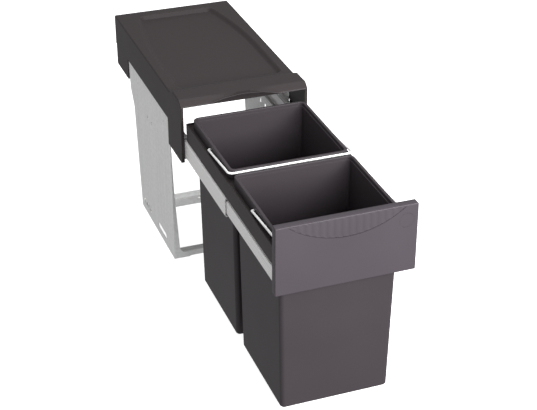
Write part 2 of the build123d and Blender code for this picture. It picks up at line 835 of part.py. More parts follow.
with BuildPart() as front_panel:
    with BuildSketch(Plane.XZ.offset(-panel_back)):
        with Locations((0, panel_mid)):
            RectangleRounded(panel_width, panel_height, panel_corner_radius)
    extrude(amount=panel_thickness)
    chamfer(front_panel.faces().sort_by(Axis.Y)[0].edges(), panel_bevel)
    with BuildSketch(Plane.XZ.offset(-panel_back)):
        with Locations((0, panel_mid)):
            RectangleRounded(
                panel_width - 2 * panel_wall,
                panel_height - 2 * panel_wall,
                panel_corner_radius - panel_wall / 2,
            )
    extrude(amount=panel_thickness - panel_wall, mode=Mode.SUBTRACT)
    with BuildSketch(Plane.XZ.offset(-panel_back)):
        with Locations([(x, panel_screw_height) for x in panel_screw_x]):
            Circle(carrier_boss_radius)
            Circle(panel_screw_radius, mode=Mode.SUBTRACT)
    extrude(amount=panel_thickness - panel_wall)
    with BuildSketch(Plane.XZ.offset(-panel_front)):
        with BuildLine():
            ThreePointArc((-grip_half, grip_top), (0, grip_top - grip_sag), (grip_half, grip_top))
            Line((grip_half, grip_top), (-grip_half, grip_top))
        make_face()
    extrude(amount=-grip_depth, mode=Mode.SUBTRACT)
    with BuildSketch(Plane.XZ.offset(-panel_front)):
        with Locations((dimple_place, panel_top_height - dimple_drop)):
            Circle(dimple_radius)
            Circle(dimple_radius - dimple_line, mode=Mode.SUBTRACT)
    extrude(amount=-dimple_depth, mode=Mode.SUBTRACT)
front_panel.part.label = "front_panel"
export_step(front_panel.part, "parts/front_panel.step")

# Grip insert: a thin plate with upright ribs, set in the panel's arc pocket
pocket_floor = panel_front + grip_depth
insert_top = grip_top - grip_gap
insert_low = grip_top - grip_sag + grip_gap
insert_half = grip_half - 2 * grip_gap
rib_floor = pocket_floor - grip_thickness + grip_rib_depth

with BuildPart() as grip_insert:
    with BuildSketch(Plane.XZ.offset(-pocket_floor)):
        with BuildLine():
            ThreePointArc((-insert_half, insert_top), (0, insert_low), (insert_half, insert_top))
            Line((insert_half, insert_top), (-insert_half, insert_top))
        make_face()
    extrude(amount=grip_thickness - grip_rib_depth)
    with BuildSketch(Plane.XZ.offset(-rib_floor)):
        with BuildLine():
            ThreePointArc((-insert_half, insert_top), (0, insert_low), (insert_half, insert_top))
            Line((insert_half, insert_top), (-insert_half, insert_top))
        make_face()
        with Locations((0, insert_top)):
            with GridLocations(grip_rib_pitch, 0, grip_rib_count + 1, 1):
                Rectangle(grip_rib_pitch - grip_rib_width, 2 * grip_sag, mode=Mode.SUBTRACT)
    extrude(amount=grip_rib_depth)
grip_insert.part.label = "grip_insert"
export_step(grip_insert.part, "parts/grip_insert.step")

# Panel screws: driven from inside the carrier into the panel's bosses
with BuildPart() as panel_screws:
    with BuildSketch(Plane.XZ.offset(-panel_back - carrier_wall)):
        with Locations([(x, panel_screw_height) for x in panel_screw_x]):
            RegularPolygon(panel_screw_head, shank_flat_count)
    extrude(amount=-panel_screw_head_height)
    with BuildSketch(Plane.XZ.offset(-panel_back - carrier_wall)):
        with Locations([(x, panel_screw_height) for x in panel_screw_x]):
            RegularPolygon(panel_screw_radius, shank_flat_count)
    extrude(amount=carrier_wall + panel_thickness - panel_wall - panel_screw_reach)
panel_screws.part.label = "panel_screws"
export_step(panel_screws.part, "parts/panel_screws.step")
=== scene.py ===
import bmesh
import bpy
import numpy as np
from bpy.props import FloatProperty, FloatVectorProperty, IntProperty, PointerProperty
from mathutils import Matrix, Vector


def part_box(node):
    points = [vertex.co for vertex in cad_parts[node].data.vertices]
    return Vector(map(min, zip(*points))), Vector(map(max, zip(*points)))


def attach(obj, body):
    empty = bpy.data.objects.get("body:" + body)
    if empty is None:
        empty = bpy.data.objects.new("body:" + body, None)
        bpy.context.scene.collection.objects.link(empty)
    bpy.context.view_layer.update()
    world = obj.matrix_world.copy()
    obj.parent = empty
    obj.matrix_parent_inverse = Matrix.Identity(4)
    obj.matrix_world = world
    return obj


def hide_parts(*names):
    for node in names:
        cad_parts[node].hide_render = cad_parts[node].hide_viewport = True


bl_info = {
    "name": "Pull Out Bin Frame",
    "version": (1, 0, 0),
    "blender": (4, 5, 0),
    "location": "3D View > Sidebar > Bin Frame",
    "description": "Builds the lid, bins, front panel, bails and steel of a pull out bin frame",
    "category": "Add Mesh",
}

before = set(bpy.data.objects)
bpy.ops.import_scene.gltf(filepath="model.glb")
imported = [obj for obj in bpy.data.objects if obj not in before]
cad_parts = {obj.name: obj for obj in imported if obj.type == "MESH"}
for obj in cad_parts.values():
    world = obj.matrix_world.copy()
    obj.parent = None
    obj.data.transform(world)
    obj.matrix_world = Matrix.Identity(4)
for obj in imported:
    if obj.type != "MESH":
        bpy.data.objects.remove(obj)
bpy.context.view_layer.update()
MM = 0.001

# In metres: how near points merge, and how far an inner face stays inside its outer face's box
WELD = 0.00002
FINE_WELD = 0.000005
CLEARANCE = 0.1 * MM
# Faces that meet at more than this angle meet in a sharp edge
SMOOTH_DEGREES = 35

REAR_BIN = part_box("rear_bin")
FRONT_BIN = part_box("front_bin")
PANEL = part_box("front_panel")
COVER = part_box("cover")


# Sizes and colours


def length(name, description, millimetres):
    """A length property, given in millimetres and kept in metres."""
    return FloatProperty(
        name=name, description=description, default=millimetres * MM, unit="LENGTH", precision=4
    )


def colour(name, description, value):
    """A linear colour property."""
    return FloatVectorProperty(
        name=name, description=description, default=value, size=3, subtype="COLOR", min=0, max=1
    )


def share(name, description, value):
    """A plain number from nothing to one."""
    return FloatProperty(name=name, description=description, default=value, min=0, max=1, subtype="FACTOR")


def point(name, description, value):
    """A point in metres."""
    return FloatVectorProperty(
        name=name, description=description, default=value, size=3, subtype="XYZ", precision=6
    )


def lamp(name, description, watts):
    """A lamp's power."""
    return FloatProperty(name=name, description=description, default=watts, unit="POWER")


class BinFrameFinish(bpy.types.PropertyGroup):
    """Colours and gloss of every finish."""

    lid_plastic: colour("Lid plastic", "Colour of the lid and the bin carrier", (0.026, 0.020, 0.021))
    bin_plastic: colour("Bin plastic", "Colour of the bins", (0.038, 0.0315, 0.0365))
    panel_plastic: colour("Panel plastic", "Colour of the front panel and its grip", (0.054, 0.0455, 0.054))
    # The scoop's wall wears a darker copy of the lid plastic: painted shade for the shadow inside the recess
    scoop_painted_shade: share("Scoop shade", "How much darker the finger scoop's wall is", 0.2)
    plastic_roughness: share("Plastic roughness", "Roughness of the moulded grain", 0.5)
    galvanised: colour("Galvanised sheet", "Colour of the side plates and crossbars", (0.86, 0.865, 0.86))
    rail_steel: colour("Rail steel", "Colour of the rolled rails", (0.96, 0.945, 0.945))
    cage_steel: colour("Cage steel", "Colour of the ball cages", (0.45, 0.44, 0.42))
    wire_coat: colour("Wire coating", "Colour of the coated bails", (0.90, 0.90, 0.90))
    rubber: colour("Rubber", "Colour of the end buffers", (0.015, 0.015, 0.015))
    floor: colour("Floor", "Colour of the pale floor", (0.86, 0.86, 0.86))


class BinFrameLid(bpy.types.PropertyGroup):
    """Sizes of the lid moulding."""

    wall: length("Wall", "Thickness of the moulding", 2.5)
    edge: length("Edge", "Rounding along the lid's long edges", 3.0)
    nose_edge: length("Nose edge", "Rounding along the hood's ends and the front legs", 1.4)
    leg_return: length("Leg return", "Width of the front strip of each leg", 5.5)
    hood_bow: length("Hood bow", "How far the hood's rear edge bows back in the middle", 5.0)
    tray_depth: length("Tray depth", "Depth of the sunken tray", 6.5)
    tray_slope: length("Tray slope", "Width of the slope round the tray", 12.0)
    scoop_width: length("Scoop width", "Width of the finger scoop at the hood's lower edge", 142.0)
    scoop_depth: length("Scoop depth", "How far the finger scoop goes back under its lip", 11.0)


class BinFrameBin(bpy.types.PropertyGroup):
    """Sizes of a bin."""

    wall: length("Wall", "Thickness of the bin's wall", 2.2)
    overhang: length("Rim overhang", "How far the rim stands out from the body", 5.0)
    corner: length("Corner", "Radius of the body's upright corners", 8.0)
    foot_edge: length("Foot edge", "Rounding round the bottom", 4.0)
    side_taper: length("Side taper", "How much narrower the foot is on each side", 7.0)
    end_taper: length("End taper", "How much shorter the foot is at each end", 3.5)
    rim_height: length("Rim height", "How far the rim is turned down", 17.7)
    step_drop: length("Step drop", "How far the inner step lies below the rim", 7.0)
    step: length("Step", "Width of the step inside the rim", 1.4)


class BinFramePanel(bpy.types.PropertyGroup):
    """Sizes of the front panel and its grip."""

    wall: length("Wall", "Thickness of the moulding", 2.8)
    bevel: length("Edge", "Rounding round the front face", 1.5)
    corner: length("Corner", "Radius of the panel's corners", 2.2)
    grip_chord: length("Grip chord", "Width of the grip arc along the panel's top", 206.0)
    grip_sag: length("Grip sag", "Depth of the grip arc", 36.3)
    grip_depth: length("Grip depth", "Depth of the pocket that holds the grip", 1.4)
    rib_pitch: length("Rib pitch", "Distance from one soft rib to the next", 12.6)
    rib_depth: length("Rib depth", "Depth of the grooves between the ribs", 0.7)
    mark_radius: length("Mark radius", "Radius of the faint moulded ring", 13.0)
    mark_place: point("Mark place", "Middle of the faint moulded ring", (0.104, 0.0, 0.371))
    boss: length("Boss", "Radius of the screw bosses behind the panel", 4.0)


class BinFrameWire(bpy.types.PropertyGroup):
    """Sizes of the bails."""

    radius: length("Radius", "Radius of the wire", 2.0)
    bend: length("Bend", "Radius of the wire's two large bends", 9.0)
    sides: IntProperty(name="Sides", description="Faces round the wire", default=20, min=8, max=48)


class BinFrameSlide(bpy.types.PropertyGroup):
    """Sizes of the rolled rails."""

    middle_round: length("Middle round", "Outer rounding of the middle rail's lips", 5.0)
    drawer_round: length("Drawer round", "Outer rounding of the drawer rail", 4.0)
    sheet: length("Sheet", "Thickness of the rolled sheet", 1.4)
    race: length("Race", "Radius of the grooves that the balls roll in", 1.75)
    ball_lift: length("Ball lift", "How far the balls' middles stand off the rail's edge", 1.0)
    ball_inset: length("Ball inset", "How far the balls' middles lie inside the rail's outer face", 4.8)
    bead: length("Bead", "Depth of the line rolled along each rail's face", 0.4)
    bead_level: length("Bead level", "How far the line lies below the rail's middle", 7.0)


class BinFrameStudio(bpy.types.PropertyGroup):
    """Light and camera."""

    lens: FloatProperty(name="Lens", description="Focal length on a 36 mm wide sensor", default=93.003)
    camera_place: point("Camera place", "Where the camera stands", (-0.772591, -2.447028, 1.507371))
    camera_aim: point("Camera aim", "The point that the camera looks at", (0.174107, 0.136128, -0.069006))
    front_light: lamp("Front light", "Power of the light in front", 125.0)
    top_light: lamp("Top light", "Power of the light overhead", 42.0)
    side_light: lamp("Side light", "Power of the light on the left", 8.0)
    sky: FloatProperty(name="Sky", description="Strength of the even light from all round", default=0.42)
    floor_glow: FloatProperty(
        name="Floor glow", description="Light given off by the pale floor", default=0.85
    )


# Shader maths


class Wire:
    """A shader socket. Python's operators on it add Math nodes."""

    def __init__(self, shader, socket):
        self.shader = shader
        self.socket = socket

    def math(self, operation, *values):
        return self.shader.node("ShaderNodeMath", {"operation": operation}, dict(enumerate(values)))

    def __add__(self, other):
        return self.math("ADD", self, other)

    __radd__ = __add__

    def __sub__(self, other):
        return self.math("SUBTRACT", self, other)

    def __rsub__(self, other):
        return self.math("SUBTRACT", other, self)

    def __mul__(self, other):
        return self.math("MULTIPLY", self, other)

    __rmul__ = __mul__

    def __lt__(self, other):
        return self.math("LESS_THAN", self, other)

    def __gt__(self, other):
        return self.math("GREATER_THAN", self, other)

    def __abs__(self):
        return self.math("ABSOLUTE", self)


class Finish:
    """A material's node tree, on the Object coordinates of the piece that wears it."""

    def __init__(self, name):
        self.material = bpy.data.materials.new(name)
        self.material.use_nodes = True
        self.tree = self.material.node_tree
        self.tree.nodes.clear()
        self.place = self.node("ShaderNodeTexCoord", out="Object")

    def node(self, kind, settings=None, sockets=None, out=0):
        """Adds one node: its settings first, then the values or links of its sockets."""
        made = self.tree.nodes.new(kind)
        for key, value in (settings or {}).items():
            setattr(made, key, value)
        for key, value in (sockets or {}).items():
            if isinstance(value, Wire):
                self.tree.links.new(value.socket, made.inputs[key])
            else:
                made.inputs[key].default_value = value
        return Wire(self, made.outputs[out])

    def stretched(self, x, y, z):
        """The object's coordinates, multiplied along each axis."""
        return self.node("ShaderNodeMapping", {}, {"Vector": self.place, "Scale": (x, y, z)})

    def noise(self, vector, scale, detail):
        """Soft noise from nothing to one."""
        return self.node("ShaderNodeTexNoise", {}, {"Vector": vector, "Scale": scale, "Detail": detail})

    def cells(self, vector, scale):
        """A cell pattern: the distance to the nearest cell's middle."""
        return self.node("ShaderNodeTexVoronoi", {}, {"Vector": vector, "Scale": scale}, "Distance")

    def shaded(self, value, low, high, factor):
        """One colour at two brightnesses, mixed by a factor."""
        return self.node(
            "ShaderNodeMix",
            {"data_type": "RGBA"},
            {
                0: factor,
                6: (*[low * part for part in value], 1),
                7: (*[high * part for part in value], 1),
            },
            out=2,
        )

    def bump(self, height, distance):
        """A normal from a height, where a height of one stands for a distance in metres."""
        return self.node("ShaderNodeBump", {}, {"Height": height, "Distance": distance}, "Normal")

    def surface(self, **sockets):
        """Ends the tree in a Principled shader, whose sockets are named with underscores."""
        named = {key.replace("_", " "): value for key, value in sockets.items()}
        shader = self.node("ShaderNodeBsdfPrincipled", {}, named)
        output = self.tree.nodes.new("ShaderNodeOutputMaterial")
        self.tree.links.new(shader.socket, output.inputs["Surface"])
        return self.material


# Finishes

# The moulded grain's depth and half the ring's line in metres, and the ring's height in grain depths
GRAIN = 0.00003
RING_LINE = 0.0007
RING_HEIGHT = 15


def moulded(name, tone, roughness, ring=None):
    """Moulded plastic with a fine spark-eroded grain and a slow drift in tone and gloss.

    A faint ring, if asked for, is given by its middle and radius in metres.
    """
    finish = Finish(name)
    pits = finish.noise(finish.place, 1500, 3)
    drift = finish.noise(finish.place, 9, 2)
    height = pits
    if ring:
        middle, radius = ring
        moved = finish.node(
            "ShaderNodeMapping",
            {},
            {"Vector": finish.place, "Location": (-middle[0], 0, -middle[2]), "Scale": (1, 0, 1)},
        )
        reach = finish.node("ShaderNodeVectorMath", {"operation": "LENGTH"}, {0: moved}, "Value")
        height = pits + (abs(reach - radius) < RING_LINE) * RING_HEIGHT
    return finish.surface(
        Base_Color=finish.shaded(tone, 0.92, 1.08, drift),
        Roughness=roughness + (pits - 0.5) * 0.12 + (drift - 0.5) * 0.08,
        Normal=finish.bump(height, GRAIN),
        Specular_IOR_Level=0.3,
    )


def galvanised(name, tone):
    """Zinc-dipped sheet: flat crystals, faint upright rolling streaks and a soft satin gloss."""
    finish = Finish(name)
    crystals = finish.cells(finish.place, 160)
    streaks = finish.noise(finish.stretched(120, 120, 3), 1.0, 3)
    mottle = crystals * 0.5 + streaks * 0.7
    return finish.surface(
        Base_Color=finish.shaded(tone, 0.86, 1.1, mottle),
        Metallic=0.25,
        Roughness=0.38 + mottle * 0.18,
        Normal=finish.bump(streaks, 0.00002),
    )


def rolled(name, tone, roughness=0.3):
    """Bright rolled steel, with fine lines along the rail."""
    finish = Finish(name)
    lines = finish.noise(finish.stretched(900, 4, 900), 1.0, 3)
    smears = finish.noise(finish.stretched(20, 3, 20), 1.0, 2)
    return finish.surface(
        Base_Color=finish.shaded(tone, 0.9, 1.02, smears),
        Metallic=0.2,
        Roughness=roughness + (lines - 0.5) * 0.15 + (smears - 0.5) * 0.1,
        Normal=finish.bump(lines, 0.00001),
    )


def polished(name, tone):
    """Hardened steel with the smear of a thin grease film."""
    finish = Finish(name)
    smear = finish.noise(finish.place, 600, 2)
    return finish.surface(
        Base_Color=finish.shaded(tone, 0.8, 1.05, smear), Metallic=1.0, Roughness=0.1 + smear * 0.18
    )


def coated(name, tone):
    """White powder coat on wire: a slight orange peel."""
    finish = Finish(name)
    peel = finish.noise(finish.place, 700, 2)
    return finish.surface(
        Base_Color=finish.shaded(tone, 0.96, 1.02, peel),
        Roughness=0.3 + peel * 0.1,
        Normal=finish.bump(peel, 0.00002),
    )


def rubbery(name, tone):
    """Soft black rubber with a dull bloom."""
    finish = Finish(name)
    bloom = finish.noise(finish.place, 250, 3)
    return finish.surface(
        Base_Color=finish.shaded(tone, 0.8, 1.9, bloom),
        Roughness=0.75 + bloom * 0.15,
        Normal=finish.bump(bloom, 0.00003),
    )


def wear(obj, *materials):
    """Gives an object these materials in place of its own."""
    obj.data.materials.clear()
    for material in materials:
        obj.data.materials.append(material)


# Mesh making


def grid_faces(rows, columns, start, wrap):
    """Quads over a grid of points held row by row; wrap closes each row on itself."""
    across = columns if wrap else columns - 1
    row, column = np.meshgrid(np.arange(rows - 1), np.arange(across), indexing="ij")
    following = (column + 1) % columns
    corners = np.stack(
        [
            row * columns + column,
            row * columns + following,
            (row + 1) * columns + following,
            (row + 1) * columns + column,
        ],
        axis=-1,
    )
    return corners.reshape(-1, 4) + start


class Shell:
    """Collects grids and flat faces in millimetres, and welds them into one mesh."""

    def __init__(self):
        self.points = []
        self.faces = []
        self.count = 0

    def add_points(self, points):
        start = self.count
        flat = np.asarray(points, float).reshape(-1, 3)
        self.points.append(flat)
        self.count += len(flat)
        return start

    def grid(self, points, flip=False, wrap=False):
        """A grid of points, rows by columns by three."""
        rows, columns = points.shape[:2]
        start = self.add_points(points)
        faces = grid_faces(rows, columns, start, wrap)
        self.faces.extend((faces[:, ::-1] if flip else faces).tolist())

    def face(self, loop, flip=False):
        """One flat face round a loop of points."""
        start = self.add_points(loop)
        face = list(range(start, start + len(loop)))
        self.faces.append(face[::-1] if flip else face)

    def build(self, name, outward=False, weld=WELD):
        """The welded object, smooth except at its sharp edges."""
        mesh = bpy.data.meshes.new(name)
        mesh.from_pydata((np.concatenate(self.points) * MM).tolist(), [], self.faces)
        weld_mesh(mesh, weld, outward)
        smooth(mesh)
        return add_object(name, mesh)


def add_object(name, data):
    """A new object in the scene."""
    obj = bpy.data.objects.new(name, data)
    bpy.context.scene.collection.objects.link(obj)
    return obj


def weld_mesh(mesh, distance, outward):
    """Merges points that lie together and drops the faces that this closes up."""
    work = bmesh.new()
    work.from_mesh(mesh)
    bmesh.ops.remove_doubles(work, verts=work.verts, dist=distance)
    bmesh.ops.dissolve_degenerate(work, edges=work.edges, dist=distance / 10)
    if outward:
        bmesh.ops.recalc_face_normals(work, faces=work.faces)
    work.to_mesh(mesh)
    work.free()


def smooth(mesh):
    """Smooth shading, with sharp edges where faces meet at more than an angle."""
    mesh.polygons.foreach_set("use_smooth", np.ones(len(mesh.polygons), bool))
    mesh.set_sharp_from_angle(angle=np.radians(SMOOTH_DEGREES))


def read_rows(items, key):
    """A vector of every vertex or face of a mesh, one to a row."""
    flat = np.empty(len(items) * 3)
    items.foreach_get(key, flat)
    return flat.reshape(-1, 3)


def thicken(obj, metres):
    """Gives an open sheet its thickness inwards, and keeps the inner face inside the outer one's box."""
    outer = read_rows(obj.data.vertices, "co")
    solid = obj.modifiers.new("Wall", "SOLIDIFY")
    solid.thickness = metres
    solid.offset = -1
    made = bpy.data.meshes.new_from_object(obj.evaluated_get(bpy.context.evaluated_depsgraph_get()))
    obj.modifiers.remove(solid)
    points = read_rows(made.vertices, "co")
    inner = slice(len(outer), None)
    points[inner] = np.clip(points[inner], outer.min(axis=0) + CLEARANCE, outer.max(axis=0) - CLEARANCE)
    made.vertices.foreach_set("co", points.ravel())
    obj.data = made


def settle(obj, body, slot, *nodes):
    """Puts a piece on its body and hides the CAD nodes that it stands for; the slot is not used."""
    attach(obj, body)
    if nodes:
        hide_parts(*nodes)


# Measures and curves


def in_mm(group, *names):
    """Some of a property group's lengths, in millimetres."""
    return [getattr(group, name) / MM for name in names]


def half_height(box):
    """Half a box's height, in millimetres."""
    return (box[1].z - box[0].z) / 2 / MM


def mid_height(box):
    """The level of a box's middle, in millimetres."""
    return (box[0].z + box[1].z) / 2 / MM


def spread(*parts):
    """Numbers and arrays brought to one shape and stacked along a new last axis."""
    return np.stack(np.broadcast_arrays(*parts), axis=-1)


def quarter_turn(count):
    """Evenly spaced angles over a right angle."""
    return np.radians(np.linspace(0, 90, count))


def arc_points(centre, radius, start, end, count):
    """Points on an arc: centre plus radius times the cosine and sine of evenly spaced angles."""
    angle = np.radians(np.linspace(start, end, count))
    return spread(centre[0] + radius * np.cos(angle), centre[1] + radius * np.sin(angle))


def round_off(past, radius):
    """Height of a quarter circle: the root of the radius squared less the distance past its start squared."""
    return np.sqrt(np.clip(radius**2 - np.clip(past, 0, None) ** 2, 0, None))


def bow_height(x, chord, sag):
    """Height of an arc above its chord: root of radius squared less x squared, less the centre's drop."""
    radius = (chord**2 / 4 + sag**2) / (2 * sag)
    inside = np.clip(np.abs(x), 0, chord / 2)
    return np.sqrt(radius**2 - inside**2) - (radius - sag)


def ease(t):
    """A soft step from nothing to one: three t squared less two t cubed."""
    t = np.clip(t, 0, 1)
    return t * t * (3 - 2 * t)


def soft_min(a, b, blend):
    """The lower of two heights, rounded over a blend where they meet."""
    near = np.clip(blend - np.abs(a - b), 0, None) / blend
    return np.minimum(a, b) - near * near * blend / 4


# Lid

# The lid's levels, runs and roundings, in millimetres
LID_HALF = COVER[1].x / MM
HOOD_FRONT = COVER[0].y / MM
LID_REAR = COVER[1].y / MM
HOOD_TOP = COVER[1].z / MM
LEG_BOTTOM = COVER[0].z / MM
LID_TOP = HOOD_TOP - 9
LIP_BOTTOM = LID_TOP - 3
LIP_TOP = LIP_BOTTOM + 1.5
SKIRT_BOTTOM = LID_TOP - 63
LEG_REAR = HOOD_FRONT + 90
NOSE_END = HOOD_FRONT + 12
RAMP = (HOOD_FRONT + 50, HOOD_FRONT + 76)
TRAY = (HOOD_FRONT + 82, LID_REAR - 24)
TRAY_HALF = (110.0, 80.0)
TRAY_STRAIGHT = 143.0
TRAY_CORNER = 14.0
TRAY_LEAD = 1.5
TRAY_BAND = 14.0
SCOOP_DROP = 6.0
NOSE_OVER = 0.4
NOSE_BLEND = 5.0
NOSE_RUN = 20.0
LIP_ROUND = 0.8
REAR_ROUND = 3.0
LEG_ROUND = 5.0
LEG_RUN = 12.0
NOTCH_ROUND = 3.0
SAME_POINT = 0.01


def tray_half_width(y):
    """Half the tray's width: straight at the front, then an arc tangent to it that narrows to the rear."""
    run = TRAY[1] - TRAY[0] - TRAY_STRAIGHT
    narrowing = TRAY_HALF[0] - TRAY_HALF[1]
    radius = (run**2 + narrowing**2) / (2 * narrowing)
    past = np.clip(y - TRAY[0] - TRAY_STRAIGHT, 0, run)
    return TRAY_HALF[0] - radius + np.sqrt(radius**2 - past**2)


def tray_drop(x, y, depth, slope):
    """Depth of the tray: a soft step of the distance inside its outline, whose corners are rounded."""
    side = tray_half_width(y) - np.abs(x)
    end = np.minimum(y - TRAY[0], TRAY[1] - y)
    short = np.hypot(np.clip(TRAY_CORNER - side, 0, None), np.clip(TRAY_CORNER - end, 0, None))
    return depth * ease((TRAY_CORNER - short) / slope)


def lid_height(x, y, lid):
    """Height of the lid's top: the hood, its curved ramp down to the lid, the sloped nose and the tray."""
    bow = lid.hood_bow / MM * (1 - (x / LID_HALF) ** 2) * ease((y - NOSE_END) / NOSE_RUN)
    hood = HOOD_TOP - (HOOD_TOP - LID_TOP) * ease((y - bow - RAMP[0]) / (RAMP[1] - RAMP[0]))
    lip = np.maximum(LIP_TOP, LIP_BOTTOM + bow_height(x, lid.scoop_width / MM, HOOD_TOP - LIP_BOTTOM))
    nose = lip + (HOOD_TOP + NOSE_OVER - lip) * (y - HOOD_FRONT) / (NOSE_END - HOOD_FRONT)
    top = soft_min(hood, np.maximum(nose, lip), NOSE_BLEND)
    return top - tray_drop(x, y, lid.tray_depth / MM, lid.tray_slope / MM)


def lid_columns(y, edge):
    """Places across the lid for each row: close together along the tray's slope, and even elsewhere."""
    half = tray_half_width(y)[:, None]
    outer = edge + (half + TRAY_LEAD - edge) * np.linspace(0, 1, 5)[None, :-1]
    band = half + TRAY_LEAD - np.linspace(0, TRAY_BAND, 14)[None, :]
    inner = (half - (TRAY_BAND - TRAY_LEAD)) * (1 - np.linspace(0, 1, 15)[None, 1:])
    right = np.concatenate([outer, band, inner], axis=1)
    return np.concatenate([-right[:, :-1], right[:, ::-1]], axis=1)


def lid_rows():
    """Places along the lid's top: close together on the nose, the ramp and the ends of the tray."""
    return np.concatenate(
        [
            np.linspace(HOOD_FRONT + LIP_ROUND, NOSE_END + 4, 10)[:-1],
            np.linspace(NOSE_END + 4, RAMP[0] - 6, 8)[:-1],
            np.linspace(RAMP[0] - 6, TRAY[0] + TRAY_BAND, 34)[:-1],
            np.linspace(TRAY[0] + TRAY_BAND, TRAY[1] - TRAY_BAND, 60)[:-1],
            np.linspace(TRAY[1] - TRAY_BAND, TRAY[1] + 2, 16)[:-1],
            np.linspace(TRAY[1] + 2, LID_REAR - REAR_ROUND, 6),
        ]
    )


def path_normals(path):
    """Outward normals along a line of (y, z) points: each point's tangent turned by a right angle."""
    tangent = np.gradient(path, axis=0)
    tangent /= np.linalg.norm(tangent, axis=1)[:, None]
    return np.stack([-tangent[:, 1], tangent[:, 0]], axis=1)


def edge_columns(path, rounding, side):
    """The rounded edge beside a path: a quarter circle from the face towards the side, for each point."""
    normals = path_normals(path)
    turn = quarter_turn(6)
    inward = rounding[:, None] * (1 - np.cos(turn))[None, :]
    x = side * (LID_HALF - rounding[:, None] + rounding[:, None] * np.sin(turn)[None, :])
    y = path[:, 0, None] - normals[:, 0, None] * inward
    z = path[:, 1, None] - normals[:, 1, None] * inward
    return spread(x, y, z)


def lid_skin(lid):
    """The lid's outer face as one grid, from the scoop's foot over the hood to the rear wall's foot."""
    edge = LID_HALF - lid.leg_return / MM
    rows = lid_rows()
    columns = lid_columns(rows, edge)
    front = columns[:1]
    rise = bow_height(front, lid.scoop_width / MM, HOOD_TOP - LIP_BOTTOM)
    deep = rise / (HOOD_TOP - LIP_BOTTOM)
    turn = quarter_turn(9)[:, None]
    lip = np.maximum(LIP_TOP, LIP_BOTTOM + rise) - LIP_ROUND
    foot = LIP_BOTTOM - SCOOP_DROP * deep
    scoop = spread(
        front,
        HOOD_FRONT + lid.scoop_depth / MM * deep * np.cos(turn),
        foot + (lip - foot) * np.sin(turn),
    )
    turn = quarter_turn(5)[1:-1, None]
    rounded = spread(front, HOOD_FRONT + LIP_ROUND - LIP_ROUND * np.cos(turn), lip + LIP_ROUND * np.sin(turn))
    along = rows[:, None]
    top = spread(columns, along, lid_height(columns, along, lid))
    back = top[-1:, :, 0]
    turn = quarter_turn(6)[1:, None]
    corner = spread(
        back,
        LID_REAR - REAR_ROUND + REAR_ROUND * np.sin(turn),
        LID_TOP - REAR_ROUND + REAR_ROUND * np.cos(turn),
    )
    wall = spread(back, LID_REAR, np.linspace(LID_TOP - REAR_ROUND, SKIRT_BOTTOM, 5)[1:, None])
    return np.concatenate([scoop, rounded, top, corner, wall])


def leg_path():
    """The front leg's outline from its foot's rear to the hood's lower edge, as (y, z) points."""
    foot = arc_points((HOOD_FRONT + LEG_ROUND, LEG_BOTTOM + LEG_ROUND), LEG_ROUND, 270, 180, 7)
    up = np.linspace(LEG_BOTTOM + LEG_ROUND, LIP_BOTTOM, 9)[1:]
    return np.concatenate([foot, spread(HOOD_FRONT, up)])


def lid_side(shell, lid, skin, side):
    """One side of the lid: its rounded edge, the leg's front strip and the flat skirt with the leg."""
    column = -1 if side > 0 else 0
    path = skin[:, column, 1:]
    nose, edge, leg_return = in_mm(lid, "nose_edge", "edge", "leg_return")
    rounding = nose + (edge - nose) * ease((path[:, 0] - NOSE_END) / NOSE_RUN)
    rim = edge_columns(path, rounding, side)
    rim = np.concatenate([skin[:, column : column + 1 or None], rim], axis=1)
    shell.grid(rim, flip=side < 0)
    leg = leg_path()
    leg_rounding = nose * ease((leg[:, 1] - LEG_BOTTOM) / LEG_RUN + 0.15)
    strip = edge_columns(leg, leg_rounding, side)
    strip[-1] = rim[0, 1:]
    inner = spread(side * (LID_HALF - leg_return), *leg.T)
    strip = np.concatenate([inner[:, None], strip], axis=1)
    shell.grid(strip, flip=side < 0)
    notch = arc_points((LEG_REAR + NOTCH_ROUND, SKIRT_BOTTOM - NOTCH_ROUND), NOTCH_ROUND, 90, 180, 5)
    foot = np.array([[LEG_REAR, LEG_BOTTOM], [HOOD_FRONT + LEG_ROUND, LEG_BOTTOM]])
    lower = spread(side * LID_HALF, *np.concatenate([notch, foot]).T)
    loop = np.concatenate([strip[:, -1], rim[1:, -1], lower])
    apart = np.linalg.norm(loop - np.roll(loop, 1, axis=0), axis=1) > SAME_POINT
    shell.face(loop[apart], flip=side > 0)


def rear_tab(side):
    """The rear tab below the skirt: a flat loop with rounded lower corners."""
    rear, front = LID_REAR - 4, LID_REAR - 95
    low, top = LEG_BOTTOM + 8.5, SKIRT_BOTTOM + 5
    front_round, rear_round, inset = 3, 5, 0.7
    loop = np.concatenate(
        [
            [[front, top]],
            arc_points((front + front_round, low + front_round), front_round, 180, 270, 5),
            arc_points((rear - rear_round, low + rear_round), rear_round, 270, 360, 7),
            [[rear, top]],
        ]
    )
    return spread(side * (LID_HALF - inset), *loop.T)


# Bins


def round_loop(half_x, half_y, radius, steps=8):
    """A rounded rectangle: four quarter circles about their corners, joined by straight runs.

    The halves and the radius may be columns, with a row for each ring.
    """
    quarter = np.linspace(0, 90, steps + 1)
    angle = np.radians(np.concatenate([quarter + 90 * turn for turn in range(4)]))[None, :]
    sign_x = np.repeat([1, -1, -1, 1], steps + 1)[None, :]
    sign_y = np.repeat([1, 1, -1, -1], steps + 1)[None, :]
    x = sign_x * (half_x - radius) + radius * np.cos(angle)
    y = sign_y * (half_y - radius) + radius * np.sin(angle)
    return x, y


